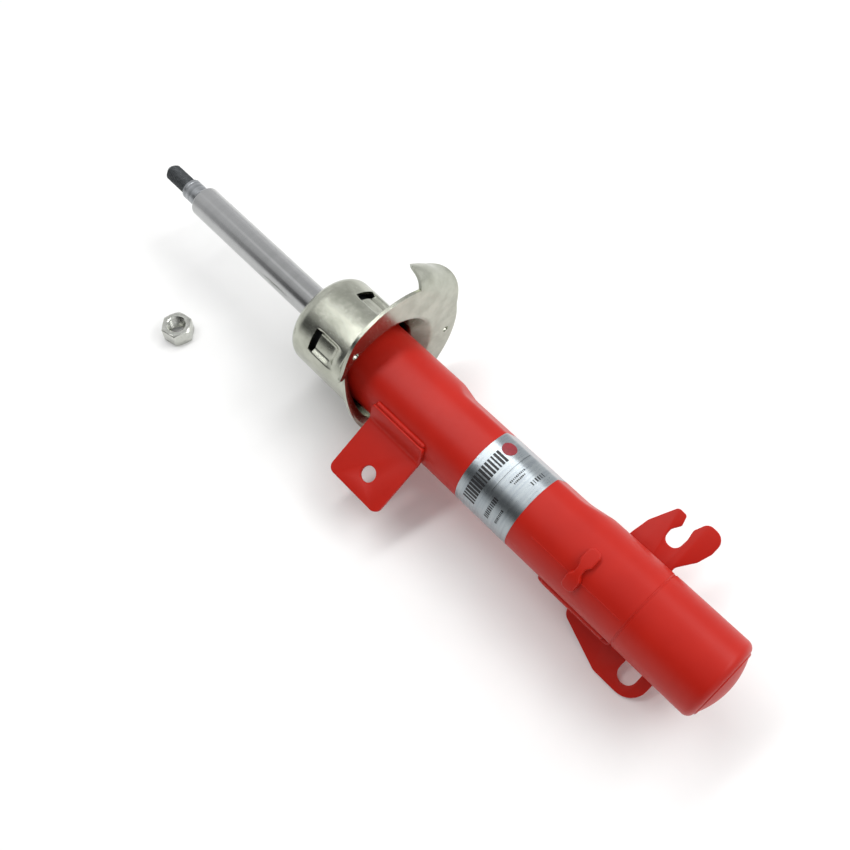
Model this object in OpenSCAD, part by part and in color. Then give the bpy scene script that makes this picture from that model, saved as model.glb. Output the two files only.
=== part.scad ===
// Clamp-mounted suspension strut, lying on a bench with its stud nut beside it.
// Design frame: z runs up the strut's axis from the tube's lower rim (z = 0), y is the side that
// carries the label, x is the side that carries the link tab. place() lays that frame down so that
// +X is the axis towards the rod and +Z is up. Lengths are in millimetres, angles in degrees.

/* [Strut tube] */
// Outer radius of the tube
tube_r = 26.6; // [25.5:0.1:27]
// Outer radius of the land that the knuckle's clamp grips
land_r = 26.75; // [26.7:0.05:27.2]
// Length of that land, from the lower rim
land_len = 50; // [40:1:51]
// Radius of the shallow groove that ends the land
groove_r = 26.4; // [26.2:0.05:26.45]
// Thickness of the tube's wall
tube_wall = 2.2; // [1.8:0.1:2.6]
// Height of the tube's rolled-in top edge
tube_top = 320.8; // [316:0.2:325]
// Radius of the rounded lower end
foot_round = 5; // [4:0.5:6]
// Depth of the tyre clearance pressed into one side
dent_depth = 3.5; // [1:0.25:4.5]
// Middle of the knuckle clamp's land, which is the part's origin
clamp_mid = 25; // [20:1:30]

/* [Rod] */
// Radius of the chromed rod
rod_r = 11; // [10:0.5:11]
// Height of the rod's upper shoulder
rod_shoulder = 452.4; // [440:0.2:470]
// Radius of the shank above the shoulder
shank_r = 7.5; // [7:0.25:9]
// Length of the shank above the shoulder
shank_len = 15.2; // [10:0.2:20]
// Nominal radius of the threaded stud
stud_r = 6; // [5:1:7]
// Length of the threaded stud
stud_len = 22.4; // [16:0.2:30]

/* [Spring seat] */
// Outer radius of the seat's cup
cup_r = 32; // [31:0.5:33]
// Thickness of the seat's sheet
seat_t = 2.2; // [1.8:0.1:2.4]
// Height of the cup's flat top
cup_top = 323; // [321:0.2:326]
// Height of the flange's upper face, where the coil sits
flange_z = 267; // [262:1:270]
// Radius of the flange
flange_r = 55; // [50:0.5:58]
// Distance from the axis to the flange's straight edge beside the coil's end
flange_in = 44.5; // [44:0.5:52]
// Shift of the flange away from the tab side
flange_shift = 8.5; // [0:0.5:12]

/* [Brackets] */
// Thickness of the link tab
tab_t = 3; // [2:0.25:4]
// Reach of the link tab from the axis
tab_reach = 67.3; // [60:0.1:75]
// Radius of the hole in the link tab
tab_hole_r = 5.25; // [4:0.25:6]
// Thickness of the hose bracket's plate
plate_t = 2.5; // [2:0.25:3]
// Reach of the lower hose hook from the axis
hook_reach = 49.64; // [47:0.01:51]

/* [Bench] */
// Direction that the label faces, turned up from horizontal
front_angle = 62; // [55:1:70]
// Depth of the bench below the axis
bench = 49; // [49:0.5:52]
// Place of the loose nut along the axis, from the lower rim
nut_x = 408; // [395:1:430]
// Place of the loose nut to the side of the axis
nut_y = 66.5; // [60:0.5:90]
// Height of the loose nut
nut_h = 12; // [10:0.5:14]

/* [Hidden] */
$fn = 96;
far = 200;                       // larger than the part's cross-section
eps = 1;                         // overshoot of cutting tools
run = 0.03;                      // radial clearance of a running fit
inner_r = tube_r - tube_wall;    // bore of the outer tube
dent_low = 117;                  // the clearance dent's full-depth stretch and its end tapers
dent_high = 208;
dent_taper_low = 25;
dent_taper_high = 13;
press_in = 16;                   // bore radius of the pressure tube
press_out = 17.5;
press_low = 10;
press_high = 300;
lip_in = 21;                     // radius that the tube's top edge is rolled in to
nut_top = tube_top - tube_wall;  // top face of the closure nut
guide_top = 309;                 // the rod guide's flange
guide_step = 300;
guide_low = 291.5;
spigot_r = 6;                    // the rod's lower spigot, which carries the piston
rod_low = 218;
spigot_low = 178;
piston_high = 214.5;
piston_low = 194.5;
shim_t = 0.5;
cap_ball = 49.8;                 // radius of the bottom cap's dome
cap_rim_r = land_r - foot_round;
lip_round = 4;                   // rounding of the rolled top edge
ramp_hinge = 269.8;              // height where the seat's end ramp starts on the axis
ramp_tilt = 31;
ramp_low = 110;                  // direction of the ramp's lowest side
ramp_from = 27;                  // the ramp takes the flange's place between these directions
ramp_to = 144;
dimple_dirs = [25, 115, 205, 295];
hex_k = 2 / sqrt(3);             // across corners over across flats
paint = "#B02A1C";
zinc = "#B4B7AF";
steel = "#8E9196";

// Directions round the axis are counted from the front (y) towards the tab side (x).
function toward(a) = [sin(a), cos(a)];

// Lays the design frame on the bench, with the origin in the middle of the clamp's land.
module place() translate([-clamp_mid, 0, 0]) rotate([90, 0, 90]) rotate([0, 0, front_angle - 90]) children();
// Turns the local x axis to a direction round the axis.
module face(a) rotate([0, 0, 90 - a]) children();
module disc(r, low, high) translate([0, 0, low]) cylinder(r = r, h = high - low);
module ring(r_out, r_in, low, high) difference() {
    disc(r_out, low, high);
    disc(r_in, low - eps, high + eps);
}
module hexagon(flats, low, high) translate([0, 0, low]) cylinder(d = flats * hex_k, h = high - low, $fn = 6);
// A wedge of space between two directions, for trimming rings.
module wedge(from, to, low, high) translate([0, 0, low]) linear_extrude(high - low)
    polygon(concat([[0, 0]], [for (i = [0:4]) far * toward(from + (to - from) * i / 4)]));
// A sheet t thick whose face looks along -y, drawn as an outline in x and z.
module sheet(y, t) translate([0, y, 0]) rotate([90, 0, 0]) linear_extrude(t) children();

// The side that is pressed in for the tyre, as everything beyond its face, moved inwards by inset.
module beyond_dent(inset) {
    x0 = -tube_r + inset;
    translate([0, far / 2, 0]) rotate([90, 0, 0]) linear_extrude(far)
        polygon([[x0, dent_low - dent_taper_low], [x0 + dent_depth, dent_low], [x0 + dent_depth, dent_high],
                 [x0, dent_high + dent_taper_high], [x0 - far, dent_high + dent_taper_high],
                 [x0 - far, dent_low - dent_taper_low]]);
}
module dented(r, inset, low, high) difference() {
    disc(r, low, high);
    beyond_dent(inset);
}

// A solid of revolution with a rounded top edge.
module bullet(r, top, round_r) {
    rotate_extrude() {
        square([r, top - round_r]);
        square([r - round_r, top]);
        translate([r - round_r, top - round_r]) circle(r = round_r);
    }
}
module outer_tube() place() color(paint) {
    difference() {
        union() {
            difference() {
                bullet(tube_r, tube_top, lip_round);
                beyond_dent(0);
            }
            disc(land_r, 0, land_len);
        }
        ring(land_r + eps, groove_r, land_len, land_len + 1.5);
        dented(inner_r, tube_wall, -eps, nut_top);
        disc(lip_in, 0, tube_top + eps);
    }
    // the end, turned in to meet the cap
    rotate_extrude() translate([cap_rim_r, 0]) intersection() {
        difference() {
            circle(r = foot_round);
            circle(r = foot_round - (land_r - inner_r));
        }
        translate([0, -foot_round]) square(foot_round);
    }
}

module bottom_cap() place() color(paint) intersection() {
    translate([0, 0, sqrt(cap_ball * cap_ball - cap_rim_r * cap_rim_r) - foot_round]) difference() {
        sphere(r = cap_ball);
        sphere(r = cap_ball - tube_wall);
    }
    disc(cap_rim_r, -2 * foot_round - eps, 0);
}

/* ---- brackets on the tube ---- */
tab_low = 202;
tab_high = 246;
tab_y = 14;                      // front face of the tab
tab_corner = 5;
tab_hole = [52.3, 222.7];
foot_t = 2.5;

module tab_outline() difference() {
    union() {
        translate([20, tab_low]) square([tab_reach - tab_corner - 20, tab_high - tab_low]);
        translate([20, tab_low + tab_corner]) square([tab_reach - 20, tab_high - tab_low - 2 * tab_corner]);
        for (z = [tab_low + tab_corner, tab_high - tab_corner])
            translate([tab_reach - tab_corner, z]) circle(r = tab_corner);
    }
    translate(tab_hole) circle(r = tab_hole_r);
}
module link_tab() place() color(paint) difference() {
    union() {
        sheet(tab_y, tab_t) tab_outline();
        intersection() {
            disc(tube_r + foot_t, tab_low, tab_high);
            wedge(36, 64, tab_low, tab_high);
        }
    }
    disc(tube_r, 0, tube_top);
}

// A fillet bead along the axis, on the tube's skin, with tapered ends.
bead_end = 2;
module bead(a, r_at, r, low, high) face(a) translate([r_at, 0, 0]) {
    disc(r, low, high);
    translate([0, 0, high]) cylinder(r1 = r, r2 = r / 3, h = bead_end);
    translate([0, 0, low - bead_end]) cylinder(r1 = r / 3, r2 = r, h = bead_end);
}
module link_tab_welds() place() color(paint) difference() {
    union() {
        bead(36, tube_r + 0.6, 1.9, tab_low + 4, tab_high - 4);
        bead(70, tube_r + 0.6, 1.9, tab_low + 3, tab_high - 3);
    }
    disc(tube_r, 0, tube_top);
    intersection() {
        disc(tube_r + foot_t, tab_low, tab_high);
        wedge(36, 64, tab_low, tab_high);
    }
    sheet(tab_y, tab_t) tab_outline();
}

saddle_t = 2.2;
saddle_low = 52;
saddle_high = 108;
hook_slot_r = 6.2;
hook_slot = [37.3, 34.8];
hook_round = 14;
fork_slot_r = 5;
fork_slot = [-40, 66.5];

// Lower hook: a J whose slot opens towards the tube.
module hook_outline() difference() {
    union() {
        polygon([[0, 55], [0, 88], [30, 88], [37.5, 83.5], [hook_reach, 52],
                 [hook_reach, hook_slot[1]], [29.5, hook_slot[1]], [29.5, 54.5], [22, 58]]);
        translate([hook_reach - hook_round, hook_slot[1]]) circle(r = hook_round);
        translate([29.5, hook_slot[1] - hook_round]) square([hook_reach - hook_round - 29.5, hook_round]);
    }
    translate(hook_slot) circle(r = hook_slot_r);
    translate([hook_slot[0] - far, hook_slot[1] - hook_slot_r]) square([far, 2 * hook_slot_r]);
    translate([29.5 - far, -far]) square([far, far + hook_slot[1] + hook_slot_r]);
    // relief at the hook's root
    translate([27.5, 57]) circle(r = 2);
    translate([27.5, 52]) square([4, 5]);
}
// Upper fork: its slot opens away from the tube.
module fork_outline() difference() {
    union() {
        polygon([[0, 50], [0, 86], [-30, 86], [-39, 84.5], [-52.5, 77], [-48, 67], [-40, 58], [-56, 58.5],
                 [-52, 46], [-40, 47], [-30, 54]]);
        translate([-51, 74.2]) circle(r = 3.4);
        translate([-52.2, 52.4]) circle(r = 6.4);
    }
    translate(fork_slot) circle(r = fork_slot_r);
    translate([fork_slot[0] - far, fork_slot[1] - fork_slot_r + 0.8]) square([far, 2 * fork_slot_r - 2]);
}
module hose_bracket() place() color(paint) difference() {
    union() {
        sheet(-tube_r, plate_t) {
            hook_outline();
            fork_outline();
        }
        intersection() {
            disc(tube_r + saddle_t, saddle_low, saddle_high);
            wedge(84, 236, saddle_low, saddle_high);
        }
    }
    disc(tube_r, 0, tube_top);
}

module bracket_welds() place() color(paint) difference() {
    for (a = [84, 236]) bead(a, tube_r + 0.5, 1.7, saddle_low + 4, saddle_high - 4);
    disc(tube_r, 0, tube_top);
    intersection() {
        disc(tube_r + saddle_t, saddle_low, saddle_high);
        wedge(84, 236, saddle_low, saddle_high);
    }
}

lug_z = 87;
lug_half = 9;                    // half the distance between the lug's round ends
lug_end_r = 3.4;
lug_waist = 4;
lug_proud = 3.2;
module locating_lug() place() color(paint) difference() {
    intersection() {
        disc(tube_r + lug_proud, lug_z - 10, lug_z + 10);
        sheet(2 * tube_r, 2 * tube_r - 10) {
            for (s = [-1, 1]) translate([4 + s * lug_half, lug_z]) circle(r = lug_end_r);
            translate([4 - lug_half, lug_z - lug_waist / 2]) square([2 * lug_half, lug_waist]);
        }
    }
    disc(tube_r, 0, tube_top);
}

label_low = 132.6;
label_high = 173.7;
label_t = 0.2;
module rating_label() place() color(zinc) intersection() {
    difference() {
        dented(tube_r + label_t, -label_t, label_low, label_high);
        dented(tube_r, 0, label_low - eps, label_high + eps);
    }
    wedge(-112, 108, label_low, label_high);
}

/* ---- spring seat ---- */
flange_t = 2.5;
flare = 9;                       // how far the cup's foot flares into the flange
hook_dir = 288;
hook_bend = 10;                  // inner radius of the curled coil stop
hook_at = 58;
hook_w = 24;
dimple_face = 27;                // inner face of a pressed-in pad
dimple_low = 284;
dimple_high = 300;
slot_high = 304.5;
pad_t = 2.2;
pad_w = 17;
shoulder = 9;

// Tilted frame of the end ramp, on which the last of the coil runs down.
module ramp() translate([0, 0, ramp_hinge]) face(ramp_low) rotate([0, ramp_tilt, 0]) children();
module ramp_wedge() wedge(ramp_from, ramp_to, 200, 300);
module cup_wall() difference() {
    bullet(cup_r, cup_top, shoulder);
    bullet(cup_r - seat_t, cup_top - seat_t, shoulder - seat_t);
    disc(17, 0, cup_top + eps);
    difference() {
        disc(far, -eps, flange_z - flange_t);
        ramp_wedge();
    }
    intersection() {
        ramp() translate([-far, -far, -2 * far]) cube(2 * far);
        ramp_wedge();
    }
    for (a = dimple_dirs) face(a) translate([dimple_face + pad_t, -pad_w / 2, dimple_low])
        cube([far, pad_w, slot_high - dimple_low]);
    for (a = dimple_dirs) face(a) translate([dimple_face - eps, -pad_w / 2, dimple_high])
        cube([far, pad_w, slot_high - dimple_high]);
}
module ramp_lip() intersection() {
    ramp() translate([-far, -far, 0]) cube([2 * far, 2 * far, seat_t]);
    ring(cup_r + 4.5, cup_r - seat_t, 230, 290);
    ramp_wedge();
}
module flange() {
    difference() {
        union() {
            translate([-flange_shift, 0, 0]) disc(flange_r, flange_z - flange_t, flange_z);
            translate([0, 0, flange_z]) cylinder(r1 = cup_r + flare, r2 = cup_r, h = flare);
        }
        translate([0, 0, flange_z - flange_t - 0.01])
            cylinder(r1 = cup_r + flare - seat_t, r2 = cup_r - seat_t, h = flare + 0.01);
        disc(cup_r - seat_t, 0, cup_top);
        ramp_wedge();
        // clear of the bench
        rotate([0, 0, 90 - front_angle]) translate([-far, -bench - far, 200]) cube([2 * far, far, far]);
        // the edge is drawn in beside the coil's end
        face(24) translate([flange_in, -far, 200]) cube([far, 2 * far, 100]);
        // the coil stop's foot
        face(hook_dir) translate([hook_at, -hook_w / 2, 200]) cube([far, hook_w, 100]);
        for (p = [[-42.5, -32], [1, 44]]) translate(p) disc(2.2, 200, 300);
    }
}
module coil_stop() face(hook_dir) translate([hook_at, 0, flange_z + hook_bend]) rotate([90, 0, 0])
    translate([0, 0, -hook_w / 2]) linear_extrude(hook_w) intersection() {
        difference() {
            circle(r = hook_bend + flange_t);
            circle(r = hook_bend);
        }
        polygon([[0, 0], [0, -30], [30, -30], [30, 0], 30 * [cos(50), sin(50)]]);
    }
module pads() for (a = dimple_dirs) face(a) translate([dimple_face, -pad_w / 2, dimple_low])
    cube([pad_t, pad_w, dimple_high - dimple_low]);
module spring_seat() place() color(zinc) {
    cup_wall();
    flange();
    ramp_lip();
    coil_stop();
    pads();
}

/* ---- inside the tube ---- */
module pressure_tube() place() color(steel) ring(press_out, press_in, press_low, press_high);
bush_r = 12.5;
o_ring_r = 1.3;
o_ring_z = 304.5;
module rod_guide() place() color("#6F7276") difference() {
    union() {
        disc(inner_r, guide_step, guide_top);
        disc(press_in, guide_low, guide_step);
    }
    disc(bush_r, guide_low - eps, guide_top + eps);
    ring(inner_r + eps, inner_r - 2 * o_ring_r, o_ring_z - o_ring_r, o_ring_z + o_ring_r);
}
module guide_bush() place() color("#8C6A3C") ring(bush_r, rod_r + run, guide_low + 1, guide_top - 1);
module guide_o_ring() place() color("#1C1C1C") rotate_extrude()
    translate([inner_r - o_ring_r, o_ring_z]) circle(r = o_ring_r, $fn = 32);
seal_r = 17;
seal_high = 315;
module rod_seal() place() color("#222222") ring(seal_r, rod_r + run, guide_top, seal_high);
module closure_nut() place() color(steel) difference() {
    disc(inner_r, guide_top, nut_top);
    disc(seal_r, guide_top - eps, seal_high);
    disc(rod_r + 0.6, guide_top, nut_top + eps);
    for (a = [0:90:270]) face(a) translate([18.8, 0, 0]) disc(1.8, nut_top - 2.5, nut_top + eps);
}

stop_low = 278.5;
stop_t = 2.5;
stop_groove_r = 9.8;
chamfer = 1.2;
stud_low = rod_shoulder + shank_len;
module piston_rod() place() color("#B9BCC2") {
    difference() {
        disc(rod_r, rod_low, rod_shoulder - chamfer);
        ring(rod_r + eps, stop_groove_r, stop_low, stop_low + stop_t);
    }
    translate([0, 0, rod_shoulder - chamfer]) cylinder(r1 = rod_r, r2 = rod_r - chamfer, h = chamfer);
    disc(shank_r, rod_shoulder, stud_low);
    disc(stud_r, stud_low, stud_low + stud_len - chamfer);
    translate([0, 0, stud_low + stud_len - chamfer]) cylinder(r1 = stud_r, r2 = stud_r - chamfer, h = chamfer);
    disc(spigot_r, spigot_low, rod_low);
}
module rebound_stop_ring() place() color(steel) ring(12.6, stop_groove_r, stop_low, stop_low + stop_t);
module rebound_bumper() place() color("#D8D2C0") ring(15.2, rod_r, stop_low + stop_t, guide_low - 0.5);

band_r = 14.2;
band_low = 200.5;
band_high = 208.5;
module piston() place() color("#5F6265") difference() {
    disc(15.6, piston_low, piston_high);
    disc(spigot_r, piston_low - eps, piston_high + eps);
    ring(press_in, band_r, band_low, band_high);
    for (a = [0:60:300]) face(a) translate([10.3, 0, 0]) disc(1.5, piston_low - eps, piston_high + eps);
    for (a = [30:60:330]) face(a) translate([12.2, 0, 0]) disc(0.9, piston_low - eps, piston_high + eps);
}
module piston_band() place() color("#3A2E26") ring(press_in - run, band_r + run, band_low + run, band_high - run);
// A stack of discs that grow away from their backing, from height z in steps of dz.
module shims(radii, bore, z, dz) for (i = [0:len(radii) - 1])
    ring(radii[i], bore, min(z + i * dz, z + (i + 1) * dz), max(z + i * dz, z + (i + 1) * dz));
module compression_shims() place() color(steel) shims([9, 11.5, 14], spigot_r, rod_low - 2, -shim_t);
module rebound_shims() place() color(steel) shims([9, 11, 13], spigot_r, piston_low - 3 * shim_t, shim_t);
module backing_washers() place() color(steel) {
    ring(8.5, spigot_r, rod_low - 2, rod_low);
    ring(8.5, spigot_r, piston_low - 3 * shim_t - 2, piston_low - 3 * shim_t);
}
module piston_nut() place() color(steel) difference() {
    hexagon(19, piston_low - 3 * shim_t - 12, piston_low - 3 * shim_t - 2);
    disc(spigot_r, 0, rod_low);
}

/* ---- base valve ---- */
bolt_r = 3;
valve_low = 2;
spacer_r = 7.5;
plate_travel = 1;
face_z = press_low + 6;          // the face that the check plate rests on
plate_gap = 0.02;
check_t = 0.8;
spacer_high = face_z + plate_gap + check_t + plate_travel + 0.3;
module base_valve_body() place() color("#5F6265") difference() {
    union() {
        disc(press_out, valve_low, press_low);
        disc(press_in, press_low, face_z);
        ring(press_out, 14, -4.4, valve_low);
    }
    disc(bolt_r, -5, face_z + eps);
    for (a = [0:60:300]) face(a) translate([10.3, 0, 0]) disc(1.5, valve_low - eps, face_z + eps);
    for (a = [0:90:270]) face(a) translate([12, -3, -6]) cube([10, 6, 6]);
}
module base_valve_shims() place() color(steel) shims([12.5, 10, 7.5], bolt_r, valve_low, -shim_t);
module base_valve_bolt() place() color(steel) {
    disc(bolt_r, -4, spacer_high + 0.6);
    hexagon(9, spacer_high + 0.6, spacer_high + 4);
}
module base_valve_nut() place() color(steel) difference() {
    hexagon(9, valve_low - 3 * shim_t - 3.5, valve_low - 3 * shim_t);
    disc(bolt_r, -6, valve_low);
}
module check_plate() place() color(steel)
    ring(13.2, spacer_r + run, face_z + plate_gap, face_z + plate_gap + check_t);
module check_plate_guide() place() color(steel) ring(spacer_r, bolt_r, face_z, spacer_high);
module check_spring() place() color(steel) difference() {
    union() {
        disc(6.5, spacer_high, spacer_high + 0.6);
        for (a = [0:120:240]) face(a) translate([0, -2, spacer_high]) cube([12.5, 4, 0.6]);
    }
    disc(bolt_r, spacer_high - eps, spacer_high + 2);
}

nut_flats = 19;
nut_bore = 5.2;
nut_chamfer = 1.4;
module rod_nut() color(zinc) translate([nut_x - clamp_mid, nut_y, -bench]) rotate([0, 0, 14]) difference() {
    intersection() {
        hexagon(nut_flats, 0, nut_h);
        union() {
            disc(nut_flats, nut_chamfer, nut_h - nut_chamfer);
            cylinder(r1 = nut_flats / 2, r2 = nut_flats / 2 + 3 * nut_chamfer, h = nut_chamfer);
            translate([0, 0, nut_h - nut_chamfer])
                cylinder(r1 = nut_flats / 2 + 3 * nut_chamfer, r2 = nut_flats / 2, h = nut_chamfer);
        }
    }
    disc(nut_bore, -eps, nut_h + eps);
}

outer_tube();
bottom_cap();
link_tab();
link_tab_welds();
hose_bracket();
bracket_welds();
locating_lug();
rating_label();
spring_seat();
pressure_tube();
rod_guide();
guide_bush();
guide_o_ring();
rod_seal();
closure_nut();
piston_rod();
rebound_stop_ring();
rebound_bumper();
piston();
piston_band();
compression_shims();
rebound_shims();
backing_washers();
piston_nut();
base_valve_body();
base_valve_shims();
base_valve_bolt();
base_valve_nut();
check_plate();
check_plate_guide();
check_spring();
rod_nut();
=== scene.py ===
"""Looks of a clamp-mounted suspension strut and its loose stud nut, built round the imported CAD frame.

Shapes are worked out in the design frame, in millimetres: z runs up the strut's axis from the tube's
lower rim, y is the side that carries the label and x the side that carries the link tab. A direction
round the axis is counted in degrees from y towards x. to_row() lays that frame on the bench.
"""
import logging
import math
from dataclasses import dataclass
from enum import Enum
from typing import Callable, Iterable, Sequence

import bmesh
import bpy
import numpy as np
from mathutils import Euler, Matrix, Vector


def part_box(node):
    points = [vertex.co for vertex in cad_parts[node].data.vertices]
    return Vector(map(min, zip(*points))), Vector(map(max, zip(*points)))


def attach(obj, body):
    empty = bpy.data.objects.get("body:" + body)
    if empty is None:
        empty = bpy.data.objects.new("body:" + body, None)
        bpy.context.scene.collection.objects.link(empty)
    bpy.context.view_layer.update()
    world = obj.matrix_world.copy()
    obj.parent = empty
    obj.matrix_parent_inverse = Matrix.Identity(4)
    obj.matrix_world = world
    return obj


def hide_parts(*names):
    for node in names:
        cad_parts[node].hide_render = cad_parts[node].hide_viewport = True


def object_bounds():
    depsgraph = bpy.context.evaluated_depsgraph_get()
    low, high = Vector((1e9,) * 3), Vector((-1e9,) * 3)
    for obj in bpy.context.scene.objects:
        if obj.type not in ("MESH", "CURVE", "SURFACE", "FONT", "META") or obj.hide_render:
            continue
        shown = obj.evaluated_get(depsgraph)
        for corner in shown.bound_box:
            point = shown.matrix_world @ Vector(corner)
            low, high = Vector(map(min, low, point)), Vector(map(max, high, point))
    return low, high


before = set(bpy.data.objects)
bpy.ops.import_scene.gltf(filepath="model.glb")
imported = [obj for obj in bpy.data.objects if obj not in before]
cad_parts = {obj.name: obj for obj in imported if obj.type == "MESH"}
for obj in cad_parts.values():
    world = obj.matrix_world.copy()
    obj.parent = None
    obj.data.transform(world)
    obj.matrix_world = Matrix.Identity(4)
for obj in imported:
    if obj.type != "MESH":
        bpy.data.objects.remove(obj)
CAD_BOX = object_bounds()

LOG = logging.getLogger("strut")
MM = 0.001
FRONT_ANGLE = 62.0      # the label's side, turned up from horizontal, in degrees
CLAMP_MID = 25.0        # the row's origin, up the axis from the lower rim
BENCH_DROP = -CAD_BOX[0].z / MM
CREASE = 35.0           # an edge sharper than this stays sharp, in degrees
SHEET_BREAK = 0.55      # rounding of a sheet's cut edges
WELD_PITCH = 1.1        # from one ripple of a weld to the next
THREAD_PITCH = 1.5      # M12 fine
STRUT, ROD, NUT = "strut_body", "rod", "rod_nut"
TURN = math.radians(FRONT_ANGLE - 90)
# design millimetres to row metres: the axis becomes X, then the cross-section turns about it
PLACE = (Matrix.Translation((-CLAMP_MID * MM, 0, 0))
         @ Matrix(((0, 0, 1, 0), (1, 0, 0, 0), (0, 1, 0, 0), (0, 0, 0, 1)))
         @ Matrix.Rotation(TURN, 4, "Z") @ Matrix.Scale(MM, 4))
Outline = list[tuple[float, float]]
Mapper = Callable[[np.ndarray], np.ndarray]


# ---------------------------------------------------------------- small helpers

def to_row(points: np.ndarray) -> np.ndarray:
    """Design points in millimetres, as points of the row frame in metres."""
    matrix = np.array(PLACE)
    return points @ matrix[:3, :3].T + matrix[:3, 3]


def linear(colour: str) -> tuple[float, float, float, float]:
    """An sRGB hex colour such as '#B02A1C' as linear RGBA."""
    parts = [int(colour[i:i + 2], 16) / 255 for i in (1, 3, 5)]
    return (*(p / 12.92 if p <= 0.04045 else ((p + 0.055) / 1.055) ** 2.4 for p in parts), 1.0)


def add_node(tree: bpy.types.NodeTree, kind: str, values: dict | None = None,
             links: dict | None = None, **settings: object) -> bpy.types.Node:
    """Adds a node with its settings, its input values and its links.

    Args:
        tree: The tree that gets the node.
        kind: The node's type name.
        values: Input name or index to default value.
        links: Input name or index to (node, output name or index).
        **settings: Properties of the node itself.

    Returns:
        The new node.
    """
    node = tree.nodes.new(kind)
    for key, value in settings.items():
        setattr(node, key, value)
    for key, value in (values or {}).items():
        node.inputs[key].default_value = value
    for key, (source, output) in (links or {}).items():
        tree.links.new(source.outputs[output], node.inputs[key])
    return node


def smooth(low: float, high: float, value: np.ndarray | float) -> np.ndarray | float:
    """A smooth step from 0 at low to 1 at high."""
    t = np.clip((value - low) / (high - low), 0.0, 1.0)
    return t * t * (3 - 2 * t)


def arc(cx: float, cy: float, r: float, start: float, end: float, steps: int) -> Outline:
    """Points of a circular arc between two angles in degrees."""
    angles = np.radians(np.linspace(start, end, steps))
    return [(cx + r * math.cos(a), cy + r * math.sin(a)) for a in angles]


def line(start: tuple[float, float], end: tuple[float, float], step: float) -> Outline:
    """Points from start to end, both included, no more than step apart."""
    count = max(2, math.ceil(math.dist(start, end) / step) + 1)
    return [tuple(p) for p in np.linspace(start, end, count)]


def rounded(corners: Sequence[tuple[float, float, float]], closed: bool = True, steps: int = 9) -> Outline:
    """An outline through corners (x, y, radius), each rounded to its radius.

    Args:
        corners: Corner points with their rounding radius.
        closed: Whether the outline is a loop.
        steps: Points on each round corner.

    Returns:
        The outline's points in order.
    """
    points: Outline = []
    count = len(corners)
    for i, (x, y, r) in enumerate(corners):
        here = Vector((x, y))
        if r <= 0 or (not closed and i in (0, count - 1)):
            points.append((x, y))
            continue
        before = (Vector(corners[i - 1][:2]) - here).normalized()
        after = (Vector(corners[(i + 1) % count][:2]) - here).normalized()
        half = before.angle(after) / 2
        if half > math.radians(89.5):
            points.append((x, y))
            continue
        middle = here + (before + after).normalized() * (r / math.sin(half))
        start, end = here + before * (r / math.tan(half)), here + after * (r / math.tan(half))
        a0 = math.atan2(start.y - middle.y, start.x - middle.x)
        sweep = math.atan2(end.y - middle.y, end.x - middle.x) - a0
        sweep = (sweep + math.pi) % (2 * math.pi) - math.pi
        points += [(middle.x + r * math.cos(a0 + sweep * k / (steps - 1)),
                    middle.y + r * math.sin(a0 + sweep * k / (steps - 1))) for k in range(steps)]
    return points


def around(angle: np.ndarray, r: np.ndarray, z: np.ndarray) -> np.ndarray:
    """Design points at directions in radians, distances from the axis and heights."""
    return np.stack((r * np.sin(angle), r * np.cos(angle), z), -1)


def turn_between(one: float, other: float) -> float:
    """The angle between two directions, in degrees, at most 180."""
    return abs((one - other + 180) % 360 - 180)


def linked(name: str, data: bpy.types.ID | None) -> bpy.types.Object:
    """A new object in the scene with the given data.

    Args:
        name: The object's name.
        data: Its mesh, curve, camera or lamp.

    Returns:
        The new object.
    """
    obj = bpy.data.objects.new(name, data)
    bpy.context.scene.collection.objects.link(obj)
    return obj


def baked(obj: bpy.types.Object) -> bpy.types.Object:
    """Turns an object's evaluated shape into its own plain mesh and removes its modifiers.

    Args:
        obj: A mesh object, or a curve object, which a mesh object then replaces.

    Returns:
        The object that holds the mesh.
    """
    graph = bpy.context.evaluated_depsgraph_get()
    mesh = bpy.data.meshes.new_from_object(obj.evaluated_get(graph), depsgraph=graph)
    if obj.type != "MESH":
        name = obj.name
        bpy.data.objects.remove(obj)
        return linked(name, mesh)
    obj.modifiers.clear()
    obj.data = mesh
    return obj


def new_object(name: str, points: np.ndarray, faces: Iterable[Sequence[int]]) -> bpy.types.Object:
    """A mesh object in the scene, with its place in its mesh.

    Args:
        name: The object's name.
        points: The mesh's points, in metres.
        faces: Point numbers of each face.

    Returns:
        The new object.
    """
    mesh = bpy.data.meshes.new(name)
    mesh.from_pydata([tuple(p) for p in points], [], [tuple(f) for f in faces])
    mesh.update()
    return linked(name, mesh)


def carve(obj: bpy.types.Object, tool: bpy.types.Object, operation: str = "DIFFERENCE") -> None:
    """Adds a modifier that cuts an object by a tool.

    Args:
        obj: The object that is cut.
        tool: The object that cuts it.
        operation: The boolean operation.
    """
    cut = obj.modifiers.new("cut", "BOOLEAN")
    cut.object, cut.operation, cut.solver = tool, operation, "EXACT"


def tidy_mesh(obj: bpy.types.Object, merge: float = 1e-6, crease: float = CREASE) -> bpy.types.Object:
    """Merges doubles, points faces outwards and smooths all but the sharp edges.

    Args:
        obj: The object whose mesh is cleaned.
        merge: Distance under which points are merged, in metres.
        crease: Angle in degrees above which an edge stays sharp.

    Returns:
        The same object.
    """
    work = bmesh.new()
    work.from_mesh(obj.data)
    bmesh.ops.remove_doubles(work, verts=work.verts, dist=merge)
    bmesh.ops.dissolve_degenerate(work, edges=work.edges, dist=merge)
    bmesh.ops.recalc_face_normals(work, faces=work.faces)
    work.to_mesh(obj.data)
    work.free()
    obj.data.shade_smooth()
    obj.data.set_sharp_from_angle(angle=math.radians(crease))
    return obj


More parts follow.
